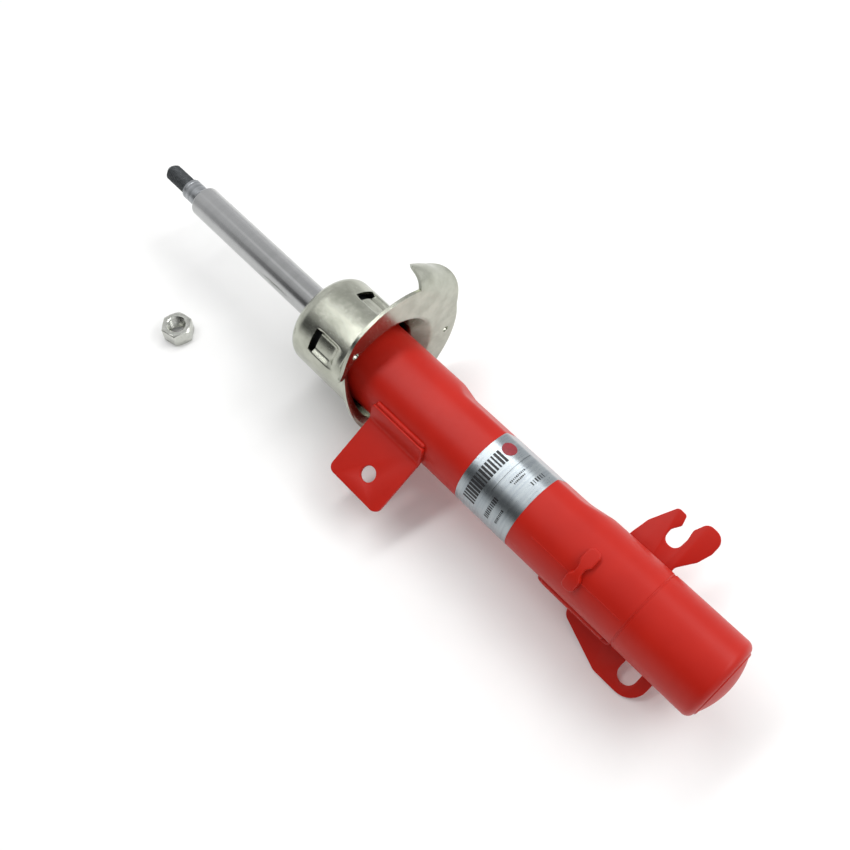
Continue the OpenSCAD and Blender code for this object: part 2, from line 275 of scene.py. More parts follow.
def lathe(name: str, profile: Outline, columns: int,
          radius: Callable[[np.ndarray, np.ndarray, np.ndarray], np.ndarray] | None = None,
          place: Mapper = to_row) -> bpy.types.Object:
    """A closed solid of revolution about the design axis.

    Args:
        name: The object's name.
        profile: Closed loop of (radius, height), or one that ends on the axis at both ends.
        columns: Number of steps round the axis.
        radius: Optional change of the radius, from (direction in radians, radius, height).
        place: Maps design points to the scene.

    Returns:
        The new object.
    """
    rows = len(profile)
    on_axis = profile[0][0] < 1e-6 and profile[-1][0] < 1e-6
    angles = np.linspace(0, 2 * math.pi, columns, endpoint=False)[:, None]
    r, z = (np.array(v)[None, :] + 0 * angles for v in zip(*profile))
    if radius:
        r = radius(angles + 0 * r, r, z)
    points = around(angles, r, z).reshape(-1, 3)
    faces = []
    for i in range(columns):
        j = (i + 1) % columns
        for k in range(rows - 1 if on_axis else rows):
            m = (k + 1) % rows
            faces.append((i * rows + k, i * rows + m, j * rows + m, j * rows + k))
    return tidy_mesh(new_object(name, place(points), faces))


def cut_sheet(name: str, outline: Outline, holes: Sequence[Outline], thickness: float, edge: float,
              mapper: Mapper, cuts: Iterable[float] = (), rows: Iterable[float] = ()) -> bpy.types.Object:
    """A piece of sheet with rounded edges, cut to an outline and then bent or laid by a mapper.

    Args:
        name: The object's name.
        outline: The blank's outline, in millimetres.
        holes: Outlines of the holes in it.
        thickness: The sheet's thickness.
        edge: Rounding of its edges.
        mapper: Maps (u, v, w) of the flat blank, w through its thickness, to design points.
        cuts: Values of u where extra edges let the sheet bend.
        rows: Values of v where extra edges let the sheet bend.

    Returns:
        The new object.
    """
    curve = bpy.data.curves.new(name, "CURVE")
    curve.dimensions, curve.fill_mode = "2D", "BOTH"
    for loop in (outline, *holes):
        spline = curve.splines.new("POLY")
        spline.points.add(len(loop) - 1)
        for point, (x, y) in zip(spline.points, loop):
            point.co = (x, y, 0, 1)
        spline.use_cyclic_u = True
    curve.extrude, curve.bevel_depth, curve.offset = thickness / 2 - edge, edge, -edge
    curve.bevel_resolution = 2
    obj = baked(linked(name, curve))
    bpy.data.curves.remove(curve)
    work = bmesh.new()
    work.from_mesh(obj.data)
    bmesh.ops.remove_doubles(work, verts=work.verts, dist=1e-4)
    for normal, values in (((1, 0, 0), cuts), ((0, 1, 0), rows)):
        for value in values:
            bmesh.ops.bisect_plane(work, geom=[*work.verts, *work.edges, *work.faces],
                                   plane_co=Vector(normal) * value, plane_no=normal, dist=1e-5)
    work.to_mesh(obj.data)
    work.free()
    flat_points = np.array([v.co for v in obj.data.vertices], float).reshape(-1, 3)
    obj.data.vertices.foreach_set("co", to_row(mapper(flat_points)).astype(np.float32).ravel())
    return tidy_mesh(obj)


def circle(cx: float, cy: float, r: float, steps: int = 40) -> Outline:
    """A circle as a closed outline."""
    return arc(cx, cy, r, 0, 360 * (1 - 1 / steps), steps)


def joined(name: str, pieces: Sequence[bpy.types.Object]) -> bpy.types.Object:
    """One object that holds several meshes.

    Args:
        name: The object's name.
        pieces: The objects that it takes the place of.

    Returns:
        The new object.
    """
    work = bmesh.new()
    for piece in pieces:
        work.from_mesh(piece.data)
    mesh = bpy.data.meshes.new(name)
    work.to_mesh(mesh)
    work.free()
    for piece in pieces:
        bpy.data.objects.remove(piece)
    mesh.set_sharp_from_angle(angle=math.radians(CREASE))
    return linked(name, mesh)


def grow(name: str, tree: bpy.types.NodeTree, values: dict[str, object]) -> bpy.types.Object:
    """Runs a Geometry Nodes tree on an empty mesh and bakes what it makes.

    Args:
        name: The object's name.
        tree: The tree.
        values: Input names and values.

    Returns:
        The baked object.
    """
    obj = new_object(name, np.zeros((0, 3)), [])
    modifier = obj.modifiers.new("grow", "NODES")
    modifier.node_group = tree
    sockets = {s.name: s.identifier for s in tree.interface.items_tree if s.item_type == "SOCKET"}
    for key, value in values.items():
        modifier[sockets[key]] = value
    return baked(obj)


# ---------------------------------------------------------------- finishes

class Grain(Enum):
    """Which way a finish's marks run, as stretches of the pattern along the row's X, Y and Z."""

    EVEN = (1.0, 1.0, 1.0)
    ALONG_AXIS = (0.06, 1.0, 1.0)
    ROUND_AXIS = (1.0, 0.05, 0.05)


@dataclass(frozen=True)
class Finish:
    """A surface finish with marks of a real size.

    Attributes:
        name: The material's common name.
        light: sRGB colour of its lighter patches.
        dark: sRGB colour of its darker patches.
        patch: Size of the colour patches, in millimetres.
        metallic: 1 for bare or plated metal.
        roughness: Lowest and highest roughness.
        mark: Size of the surface marks, in millimetres.
        depth: Depth that the marks' relief stands for, in millimetres.
        strength: Strength of the marks' relief.
        grain: Direction of the marks.
        specular: Specular level of a finish that isn't metal.
    """

    name: str
    light: str
    dark: str
    patch: float
    metallic: float
    roughness: tuple[float, float]
    mark: float
    depth: float = 0.02
    strength: float = 0.3
    grain: Grain = Grain.EVEN
    specular: float = 0.5

    def material(self) -> bpy.types.Material:
        """The finish's material, made on first use.

        Returns:
            The material, two noises deep: one for its colour, one for its gloss and relief.
        """
        found = bpy.data.materials.get(self.name)
        if found:
            return found
        material = bpy.data.materials.new(self.name)
        material.use_nodes = True
        tree = material.node_tree
        tree.nodes.clear()
        place = add_node(tree, "ShaderNodeTexCoord")
        stretch = add_node(tree, "ShaderNodeMapping", {"Scale": self.grain.value},
                           {"Vector": (place, "Object")})
        patches = add_node(tree, "ShaderNodeTexNoise",
                           {"Scale": 1 / (self.patch * MM), "Detail": 4.0, "Roughness": 0.55},
                           {"Vector": (stretch, "Vector")})
        colours = add_node(tree, "ShaderNodeValToRGB", links={"Fac": (patches, "Fac")})
        colours.color_ramp.elements[0].position, colours.color_ramp.elements[1].position = 0.36, 0.64
        colours.color_ramp.elements[0].color = linear(self.dark)
        colours.color_ramp.elements[1].color = linear(self.light)
        marks = add_node(tree, "ShaderNodeTexNoise",
                         {"Scale": 1 / (self.mark * MM), "Detail": 3.0, "Roughness": 0.6},
                         {"Vector": (stretch, "Vector")})
        gloss = add_node(tree, "ShaderNodeMapRange",
                         {"From Min": 0.3, "From Max": 0.7, "To Min": self.roughness[0],
                          "To Max": self.roughness[1]}, {"Value": (marks, "Fac")})
        relief = add_node(tree, "ShaderNodeBump", {"Strength": self.strength, "Distance": self.depth * MM},
                          {"Height": (marks, "Fac")})
        shader = add_node(tree, "ShaderNodeBsdfPrincipled",
                          {"Metallic": self.metallic, "Specular IOR Level": self.specular},
                          {"Base Color": (colours, "Color"), "Roughness": (gloss, "Result"),
                           "Normal": (relief, "Normal")})
        add_node(tree, "ShaderNodeOutputMaterial", links={"Surface": (shader, "BSDF")})
        return material


# Stoved enamel, sprayed: even colour, broad soft gloss, orange peel about 1.5 mm across.
ENAMEL = Finish("red_stoved_enamel", "#B31E11", "#AD1B0F", 30.0, 0.0, (0.36, 0.42), 1.5, 0.012, 0.2,
                specular=0.22)
# Zinc plate with a clear passivate: grey with faint straw-coloured clouds and a satin sheen.
ZINC = Finish("clear_passivated_zinc_plate", "#B5B7AB", "#A3A599", 9.0, 1.0, (0.20, 0.28), 0.9, 0.008, 0.2)
# Hard chrome, ground and polished between centres: fine marks round the rod.
CHROME = Finish("hard_chrome_ground", "#B3B4B4", "#AEAFAF", 6.0, 1.0, (0.19, 0.23), 0.12, 0.001, 0.15,
                Grain.ROUND_AXIS)
# Painted shade: near-black on the stretch of tube that the seat's cup hides, standing in for the shade
# inside the cup and its slots.
CUP_SHADE_BLACK = Finish("painted_cup_shade", "#16181A", "#101214", 3.0, 0.0, (0.55, 0.70), 0.6, 0.02, 0.3, specular=0.3)
# Turned bare steel of the shank, with tool marks round it.
TURNED = Finish("turned_bare_steel", "#A8ABAE", "#8F9295", 2.0, 1.0, (0.28, 0.42), 0.5, 0.02, 0.35,
                Grain.ROUND_AXIS)
# Manganese phosphate on the rolled thread: dark grey, crystalline and matt.
PHOSPHATE = Finish("phosphated_steel", "#56595B", "#3B3E40", 1.2, 0.7, (0.42, 0.60), 0.3, 0.02, 0.4)
# Bright zinc on the nut.
NUT_ZINC = Finish("bright_zinc_plate", "#CDCEC8", "#BDBFB8", 3.0, 1.0, (0.20, 0.28), 0.5, 0.008, 0.2)
# Aluminium foil, brushed round the tube before printing.
FOIL = Finish("brushed_aluminium_foil", "#A2A9AC", "#949BA0", 1.6, 1.0, (0.26, 0.34), 0.15, 0.002, 0.2,
              Grain.ROUND_AXIS)
# Screen ink: thin and matt.
INK = Finish("black_screen_ink", "#1B1C1F", "#131417", 2.0, 0.0, (0.40, 0.52), 0.4)
RED_INK = Finish("red_screen_ink", "#8E1F2B", "#7E1A26", 2.0, 0.0, (0.38, 0.50), 0.4)
# Inside pieces.
DRAWN = Finish("drawn_steel", "#9EA1A4", "#85888B", 4.0, 1.0, (0.25, 0.40), 0.4, 0.01, 0.3,
               Grain.ALONG_AXIS)
SINTER = Finish("sintered_iron", "#6A6C6E", "#4C4E50", 0.8, 0.8, (0.50, 0.68), 0.25, 0.03, 0.5)
SHIM = Finish("blued_spring_steel", "#8B9098", "#6E737C", 3.0, 1.0, (0.18, 0.30), 0.3, 0.01, 0.2)
BRONZE = Finish("sintered_bronze", "#A7814C", "#8A6838", 0.9, 1.0, (0.32, 0.48), 0.25, 0.02, 0.4)
NITRILE = Finish("nitrile_rubber", "#1E1E1F", "#151516", 2.0, 0.0, (0.55, 0.72), 0.3, 0.03, 0.4)
NYLON = Finish("moulded_nylon", "#DDD6C2", "#CFC7B0", 3.0, 0.0, (0.42, 0.55), 0.6, 0.02, 0.3)
PTFE = Finish("bronze_filled_ptfe", "#4A3A2C", "#3A2D22", 0.8, 0.0, (0.40, 0.55), 0.3, 0.02, 0.3)

CARRIED_OVER: dict[str, Finish] = {
    "pressure_tube": DRAWN, "rod_guide": SINTER, "guide_bush": BRONZE, "guide_o_ring": NITRILE,
    "rod_seal": NITRILE, "closure_nut": TURNED, "rebound_stop_ring": DRAWN, "rebound_bumper": NYLON,
    "piston": SINTER, "piston_band": PTFE, "compression_shims": SHIM, "rebound_shims": SHIM,
    "backing_washers": DRAWN, "piston_nut": TURNED, "base_valve_body": SINTER, "base_valve_shims": SHIM,
    "base_valve_bolt": TURNED, "base_valve_nut": TURNED, "check_plate": SHIM,
    "check_plate_guide": TURNED, "check_spring": SHIM,
}


def dress(obj: bpy.types.Object, finish: Finish) -> None:
    """Gives the whole object one finish."""
    obj.data.materials.clear()
    obj.data.materials.append(finish.material())


def settle(obj: bpy.types.Object, body: str, slot: str, finish: Finish, *nodes: str) -> bpy.types.Object:
    """Dresses a piece, puts it on its body, hides the CAD nodes that it replaces and logs it.

    Args:
        obj: The piece.
        body: The body that it rides.
        slot: The slot that it would take; not used.
        finish: Its finish.
        *nodes: The CAD nodes that it replaces.

    Returns:
        The same object.
    """
    dress(obj, finish)
    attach(obj, body)
    if nodes:
        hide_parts(*nodes)
    LOG.info("%s: %d faces on %s", obj.name, len(obj.data.polygons), body)
    return obj


def painted(obj: bpy.types.Object, *nodes: str) -> bpy.types.Object:
    """Settles a red piece of the strut's body."""
    return settle(obj, STRUT, "red_paint", ENAMEL, *nodes)


# ---------------------------------------------------------------- Geometry Nodes

def new_tree(name: str, inputs: dict[str, tuple[str, object]]) -> tuple[bpy.types.NodeTree, bpy.types.Node]:
    """A Geometry Nodes tree with named inputs.

    Args:
        name: The tree's name.
        inputs: Input name to (socket type, default value).

    Returns:
        The tree and its group input node.
    """
    tree = bpy.data.node_groups.new(name, "GeometryNodeTree")
    tree.interface.new_socket("Geometry", in_out="INPUT", socket_type="NodeSocketGeometry")
    tree.interface.new_socket("Geometry", in_out="OUTPUT", socket_type="NodeSocketGeometry")
    for key, (kind, default) in inputs.items():
        socket = tree.interface.new_socket(key, in_out="INPUT", socket_type=kind)
        if default is not None:
            socket.default_value = default
    return tree, add_node(tree, "NodeGroupInput")


def end_tree(tree: bpy.types.NodeTree, source: bpy.types.Node, finish: Finish) -> None:
    """Ends a tree in Realize Instances and Set Material.

    Args:
        tree: The tree.
        source: The node whose geometry it ends with.
        finish: The finish of that geometry.
    """
    real = add_node(tree, "GeometryNodeRealizeInstances", links={"Geometry": (source, "Geometry")})
    dressed = add_node(tree, "GeometryNodeSetMaterial", {"Material": finish.material()},
                       {"Geometry": (real, "Geometry")})
    add_node(tree, "NodeGroupOutput", links={"Geometry": (dressed, "Geometry")})


def place_and_end(tree: bpy.types.NodeTree, source: bpy.types.Node, output: str,
                  given: bpy.types.Node, finish: Finish) -> None:
    """Moves a tree's geometry by its Place and Turn inputs and ends the tree.

    Args:
        tree: The tree.
        source: The node whose geometry is moved.
        output: That node's output.
        given: The group input node.
        finish: The finish of the geometry.
    """
    placed = add_node(tree, "GeometryNodeTransform", links={
        "Geometry": (source, output), "Translation": (given, "Place"), "Rotation": (given, "Turn")})
    end_tree(tree, placed, finish)


def add_math(tree: bpy.types.NodeTree, operation: str,
             *inputs: tuple[bpy.types.Node, str | int]) -> bpy.types.Node:
    """A Math node fed by (node, output) pairs."""
    return add_node(tree, "ShaderNodeMath", {}, dict(enumerate(inputs)), operation=operation)


def weld_tree() -> bpy.types.NodeTree:
    """The ripples of a weld bead: overlapping flattened drops along a line, a little uneven.

    Returns:
        The tree.
    """
    tree, given = new_tree("weld_ripples", {
        "Start": ("NodeSocketVector", None), "End": ("NodeSocketVector", None),
        "Pitch": ("NodeSocketFloat", 0.001), "Radius": ("NodeSocketFloat", 0.0017),
        "Seed": ("NodeSocketInt", 3)})
    path = add_node(tree, "GeometryNodeCurvePrimitiveLine",
                    links={"Start": (given, "Start"), "End": (given, "End")})
    steps = add_node(tree, "GeometryNodeResampleCurve", mode="LENGTH",
                     links={"Curve": (path, "Curve"), "Length": (given, "Pitch")})
    drop = add_node(tree, "GeometryNodeMeshIcoSphere", {"Subdivisions": 3}, {"Radius": (given, "Radius")})
    uneven = add_node(tree, "FunctionNodeRandomValue", {0: (0.85, 0.92, 0.92), 1: (1.2, 1.06, 1.06)},
                      {"Seed": (given, "Seed")}, data_type="FLOAT_VECTOR")
    drops = add_node(tree, "GeometryNodeInstanceOnPoints",
                     links={"Points": (steps, "Curve"), "Instance": (drop, "Mesh"),
                            "Scale": (uneven, "Value")})
    soft = add_node(tree, "GeometryNodeSetShadeSmooth", links={"Geometry": (drops, "Instances")})
    end_tree(tree, soft, ENAMEL)
    return tree


def thread_tree(finish: Finish) -> bpy.types.NodeTree:
    """A screw thread: a ridge of square section, set on its corner, wound along Z and then placed.

    Args:
        finish: The thread's finish.

    Returns:
        The tree.
    """
    tree, given = new_tree("thread_of_" + finish.name, {
        "Radius": ("NodeSocketFloat", 0.006), "Turns": ("NodeSocketFloat", 10.0),
        "Length": ("NodeSocketFloat", 0.02), "Ridge": ("NodeSocketFloat", 0.0007),
        "Place": ("NodeSocketVector", None), "Turn": ("NodeSocketRotation", None)})
    helix = add_node(tree, "GeometryNodeCurveSpiral", {"Resolution": 56},
                     {"Rotations": (given, "Turns"), "Start Radius": (given, "Radius"),
                      "End Radius": (given, "Radius"), "Height": (given, "Length")})
    upright = add_node(tree, "GeometryNodeSetCurveNormal", links={"Curve": (helix, "Curve")}, mode="Z_UP")
    section = add_node(tree, "GeometryNodeCurvePrimitiveCircle", {"Resolution": 4},
                       {"Radius": (given, "Ridge")})
    ridge = add_node(tree, "GeometryNodeCurveToMesh", {"Fill Caps": True},
                     {"Curve": (upright, "Curve"), "Profile Curve": (section, "Curve")})
    place_and_end(tree, ridge, "Mesh", given, finish)
    return tree


def print_tree(finish: Finish) -> bpy.types.NodeTree:
    """A row of printed bars of uneven width, wrapped round the tube and laid in place.

    Args:
        finish: The print's finish.

    Returns:
        The tree.
    """
    tree, given = new_tree("print_in_" + finish.name, {
        "From": ("NodeSocketVector", None), "To": ("NodeSocketVector", None),
        "Bars": ("NodeSocketInt", 8), "Height": ("NodeSocketFloat", 0.003),
        "Narrow": ("NodeSocketFloat", 0.0004), "Wide": ("NodeSocketFloat", 0.0012),
        "Skin": ("NodeSocketFloat", 0.0268), "Film": ("NodeSocketFloat", 0.0001),
        "Seed": ("NodeSocketInt", 5), "Place": ("NodeSocketVector", None),
        "Turn": ("NodeSocketRotation", None)})
    # in end point mode, Mesh Line takes the end's location where its offset goes: input 3
    row = add_node(tree, "GeometryNodeMeshLine", mode="END_POINTS",
                   links={"Count": (given, "Bars"), 2: (given, "From"), 3: (given, "To")})
    width = add_node(tree, "FunctionNodeRandomValue", data_type="FLOAT",
                     links={2: (given, "Narrow"), 3: (given, "Wide"), "Seed": (given, "Seed")})
    size = add_node(tree, "ShaderNodeCombineXYZ",
                    links={"X": (width, 1), "Y": (given, "Height"), "Z": (given, "Film")})
    bar = add_node(tree, "GeometryNodeMeshCube", {"Size": (1, 1, 1), "Vertices X": 5})
    bars = add_node(tree, "GeometryNodeInstanceOnPoints",
                    links={"Points": (row, "Mesh"), "Instance": (bar, "Mesh"), "Scale": (size, "Vector")})
    real = add_node(tree, "GeometryNodeRealizeInstances", links={"Geometry": (bars, "Instances")})
    at = add_node(tree, "GeometryNodeInputPosition")
    parts = add_node(tree, "ShaderNodeSeparateXYZ", links={"Vector": (at, "Position")})
    angle = add_math(tree, "DIVIDE", (parts, "X"), (given, "Skin"))
    radius = add_math(tree, "ADD", (parts, "Z"), (given, "Skin"))
    across, out = (add_math(tree, "MULTIPLY", (add_math(tree, name, (angle, 0)), 0), (radius, 0))
                   for name in ("SINE", "COSINE"))
    wrapped = add_node(tree, "ShaderNodeCombineXYZ",
                       links={"X": (across, 0), "Y": (out, 0), "Z": (parts, "Y")})
    bent = add_node(tree, "GeometryNodeSetPosition",
                    links={"Geometry": (real, "Geometry"), "Position": (wrapped, "Vector")})
    place_and_end(tree, bent, "Geometry", given, finish)
    return tree


# ---------------------------------------------------------------- sub-assemblies

@dataclass
class StrutTube:
    """The red tube with its clamp land, tyre clearance and rolled ends, and the domed cap."""

    radius: float = 26.6
    land_radius: float = 26.75
    land_length: float = 50.0
    bore: float = 24.4
    top: float = 320.8
    lip_round: float = 4.0
    lip_bore: float = 21.0
    lip_thick: float = 2.2
    foot_round: float = 5.0
    dent_depth: float = 3.5
    dent_side: float = 270.0
    dent_rise: tuple[float, float] = (92.0, 117.0)
    dent_fall: tuple[float, float] = (208.0, 221.0)
    dent_soft: float = 0.45
    dome_ball: float = 49.8
    wall: float = 2.2
    groove_depth: float = 0.3
    # where the near-black painted shade inside the seat's cup begins, up the axis
    shade_from: float = 284.0
    seam: tuple[float, float, float, float, float] = (54.0, 120.0, 21.5, 0.45, 0.16)
    columns: int = 216

    def dented(self, angle: np.ndarray, r: np.ndarray, z: np.ndarray) -> np.ndarray:
        """A radius of the tube, pressed in where the tyre passes.

        Args:
            angle: Directions in radians.
            r: Radii of the round tube.
            z: Heights.

        Returns:
            The radii of the pressed tube.
        """
        press = smooth(*self.dent_rise, z) * (1 - smooth(*self.dent_fall, z))
        facing = np.cos(angle - math.radians(self.dent_side))
        face = (r - self.dent_depth * press) / np.maximum(facing, 0.2)
        k = self.dent_soft
        low = -k * np.log(np.exp((r - face) / k) + 1.0)
        flat = np.where(face - r > 12 * k, 0.0, low)
        hollow = np.where(facing > 0.2, flat, 0.0)
        return r + hollow * np.minimum(press * 4, 1.0)

    def skin(self, angle: np.ndarray, z: np.ndarray, proud: float = 0.0) -> np.ndarray:
        """Radius of the tube's outside above the land, plus proud."""
        return self.dented(angle, self.radius + 0 * angle, z) + proud

    def profile(self) -> Outline:
        """The wall's closed section: up the outside, over the rolled top and down the bore.

        Returns:
            Points of (radius, height).
        """
        def wall(radius: float, start: float, end: float, step: float) -> Outline:
            """A straight stretch of the section."""
            return line((radius, start), (radius, end), step)

        outside, land, bore, top = self.radius, self.land_radius, self.bore, self.top
        (rise, risen), (fall, fallen) = self.dent_rise, self.dent_fall
        rim, bend = land - self.foot_round, outside - self.lip_round
        groove, under = self.land_length, top - self.lip_thick
        return [
            *arc(rim, 0, self.foot_round, -90, 0, 14),
            *wall(land, 4, groove, 8),
            (outside - self.groove_depth, groove + 0.2),
            (outside - self.groove_depth, groove + 1.1),
            *wall(outside, groove + 1.5, rise - 2, 8),
            *wall(outside, rise, risen, 1.8),
            *wall(outside, risen + 4, fall - 3, 6),
            *wall(outside, fall, fallen, 1.2),
            *wall(outside, fallen + 4, top - self.lip_round - 2, 12),
            *arc(bend, top - self.lip_round, self.lip_round, 0, 90, 10),
            *rounded([(bend - 0.4, top, 0), (self.lip_bore, top, 0.7), (self.lip_bore, under, 0.7),
                      (bore, under, 0)], closed=False, steps=5),
            *wall(bore, under - 1, fallen, 20),
            *wall(bore, fallen - 1, fall, 2.4),
            *wall(bore, fall - 4, risen + 4, 20),
            *wall(bore, risen, rise, 3.6),
            *wall(bore, rise - 4, 1, 20),
            *arc(rim, 0, self.foot_round - (land - bore), 0, -90, 10),
        ]

    def cap_profile(self) -> Outline:
        """The dome's closed section, from the axis out to its rim and back inside.

        Returns:
            Points of (radius, height).
        """
        rim = self.land_radius - self.foot_round
        middle = math.sqrt(self.dome_ball ** 2 - rim ** 2) - self.foot_round
        radii = np.linspace(0, rim - 0.5, 16)
        outside = [(float(r), middle - math.sqrt(self.dome_ball ** 2 - r * r)) for r in radii]
        ball = self.dome_ball - self.wall
        inside = [(float(r), middle - math.sqrt(ball * ball - r * r)) for r in radii[::-1]]
        return [*outside, (rim, outside[-1][1] + 1.3), (rim, inside[0][1] - 0.2), *inside]

    def build(self) -> None:
        """Makes the tube, its cap, the cap's weld and the seam line."""
        tube = lathe("tube_skin", self.profile(), self.columns, self.dented)
        painted(tube, "outer_tube")
        # the stretch inside the seat's cup gets the near-black painted shade
        tube.data.materials.append(CUP_SHADE_BLACK.material())
        for face in tube.data.polygons:
            face.material_index = int(face.center.x > (self.shade_from - CLAMP_MID) * MM)
        cap = lathe("cap_dome", self.cap_profile(), self.columns)
        painted(cap, "bottom_cap")
        rim = self.land_radius - self.foot_round
        weld = lathe("cap_weld", arc(rim - 0.4, -self.foot_round + 0.3, 1.15, 0, 330, 12), self.columns)
        painted(weld)
        self.seam_line()

    def seam_line(self) -> None:
        """A paint-covered ridge along the tube's weld seam, beside the lug."""
        low, high, side, half, proud = self.seam
        blank = rounded([(-half, low, half), (half, low, half), (half, high, half), (-half, high, half)])

        def wrap(flat: np.ndarray) -> np.ndarray:
            """Lays the blank along the tube."""
            angle = math.radians(side) + flat[:, 0] / self.radius
            return around(angle, self.skin(angle, flat[:, 1], flat[:, 2]), flat[:, 1])

        ridge = cut_sheet("tube_seam", blank, [], 2 * proud, proud * 0.9, wrap, rows=np.arange(60, 120, 6))
        painted(ridge)


@dataclass
class LinkTab:
    """The flat tab with its hole, bent from the foot that is welded along the tube."""

    tube: StrutTube
    low: float = 202.0
    high: float = 246.0
    thickness: float = 3.0
    face_y: float = 12.5
    reach: float = 67.3
    hole: tuple[float, float, float] = (52.3, 222.7, 5.25)
    foot_from: float = 36.0
    foot_to: float = 54.0
    bend: float = 5.0
    corner: float = 5.0
    bead: float = 1.7

    def path(self) -> np.ndarray:
        """The sheet's middle line across the axis: round the tube, then straight out.

        Returns:
            Points of (x, y).
        """
        r = self.tube.radius + self.thickness / 2
        foot = [(r * math.sin(a), r * math.cos(a))
                for a in np.radians(np.linspace(self.foot_from, self.foot_to, 9))]
        end = math.radians(self.foot_to)
        slide = (foot[-1][1] - self.face_y) / math.sin(end)
        turn = (foot[-1][0] + slide * math.cos(end), self.face_y)
        bend = rounded([(*foot[-1], 0), (*turn, self.bend), (self.reach, self.face_y, 0)], closed=False)
        return np.array(foot + bend[1:])

    def build(self) -> None:
        """Makes the bent tab and its two weld beads."""
        path = self.path()
        steps = np.r_[0, np.cumsum(np.linalg.norm(np.diff(path, axis=0), axis=1))]
        length = float(steps[-1])
        slopes = np.gradient(path, steps, axis=0)
        slopes /= np.linalg.norm(slopes, axis=1)[:, None]

        def bend(flat: np.ndarray) -> np.ndarray:
            """Bends the blank along the middle line."""
            x, y, dx, dy = (np.interp(flat[:, 0], steps, v) for v in (*path.T, *slopes.T))
            return np.column_stack((x - dy * flat[:, 2], y + dx * flat[:, 2], flat[:, 1]))

        c, low, high = self.corner, self.low, self.high
        blank = rounded([(0, low, 2), (length, low, c), (length, high, c), (0, high, 2)])
        hx, hz, hr = self.hole
        hole = circle(length - (self.reach - hx), hz, hr)
        cuts = [float(s) for s in steps[1:-1]]
        tab = cut_sheet("tab_plate", blank, [hole[::-1]], self.thickness, SHEET_BREAK, bend, cuts)
        painted(tab, "link_tab")
        welds = [weld(name, self.tube, side, low + 3, high - 3, self.bead)
                 for name, side in (("tab_weld_front", self.foot_from - 1.5), ("tab_weld_back", 71.0))]
        painted(joined("tab_welds", welds), "link_tab_welds")


def weld(name: str, tube: StrutTube, side: float, low: float, high: float,
         radius: float) -> bpy.types.Object:
    """A rippled weld bead along the tube's skin.

    Args:
        name: The object's name.
        tube: The tube that it lies on.
        side: Its direction round the axis, in degrees.
        low: Where it starts, up the axis.
        high: Where it ends.
        radius: The bead's radius, in millimetres.

    Returns:
        The baked bead.
    """
    a = math.radians(side)
    r = tube.radius + 0.3
    ends = to_row(np.array([[r * math.sin(a), r * math.cos(a), z] for z in (low, high)]))
    tree = bpy.data.node_groups.get("weld_ripples") or weld_tree()
    return grow(name, tree, {"Start": ends[0].tolist(), "End": ends[1].tolist(),
                             "Pitch": WELD_PITCH * MM, "Radius": radius * MM, "Seed": 3})


@dataclass
class HoseBracket:
    """The sheet bracket behind the tube: a saddle, a J-shaped hook and an open fork."""

    tube: StrutTube
    plate: float = 2.5
    saddle: float = 2.2
    saddle_z: tuple[float, float] = (52.0, 108.0)
    saddle_sides: tuple[float, float] = (84.0, 236.0)
    bead: float = 1.5

    def plate_outline(self) -> Outline:
        """The flat plate: the hook on the tab's side, then the fork on the other.

        Returns:
            The plate's outline across and along the axis.
        """
        hook = [(25, 52, 3), (26.5, 58.5, 1.2), (30, 58.5, 1.2), (30, 41, 1), (43.5, 41, 6.15),
                (43.5, 28.6, 6.15), (30, 28.6, 1), (29.6, 20.8, 1), (49.6, 20.8, 13), (49.6, 51, 9),
                (37.5, 84, 6), (29, 88, 5)]
        fork = [(-26, 88, 6), (-38, 85.5, 8), (-55, 77, 3), (-54.6, 70.6, 2), (-48, 68.8, 1.5),
                (-42.5, 72.2, 2.5), (-34.6, 72, 4.6), (-34.6, 62, 5), (-43.8, 61.2, 4), (-50.5, 62.2, 3),
                (-59.3, 58.4, 5), (-58.8, 45.5, 7), (-47, 45.6, 5), (-38, 48.5, 6), (-27, 56, 5)]
        return rounded(hook + fork)

    def build(self) -> None:
        """Makes the bracket and its two weld beads."""
        back = -self.tube.radius - self.plate / 2

        def flat(points: np.ndarray) -> np.ndarray:
            """Stands the plate behind the tube."""
            return np.column_stack((points[:, 0], back + points[:, 2], points[:, 1]))

        plate = cut_sheet("plate", self.plate_outline(), [], self.plate, SHEET_BREAK, flat)
        middle = self.tube.radius + self.saddle / 2
        start, end = (math.radians(s) for s in self.saddle_sides)
        low, high = self.saddle_z
        length = (end - start) * middle

        def wrap(points: np.ndarray) -> np.ndarray:
            """Bends the saddle round the tube."""
            return around(start + points[:, 0] / middle, middle + points[:, 2], points[:, 1])

        blank = rounded([(0, low, 6), (length, low, 6), (length, high, 10), (0, high, 10)])
        saddle = cut_sheet("saddle", blank, [], self.saddle, 0.5, wrap, np.linspace(1, length - 1, 44))
        painted(joined("hose_bracket_plate", [plate, saddle]), "hose_bracket")
        welds = [weld("bracket_weld", self.tube, side + lean, low + 6, high - 6, self.bead)
                 for side, lean in zip(self.saddle_sides, (-1.5, 1.5))]
        painted(joined("bracket_weld_beads", welds), "bracket_welds")


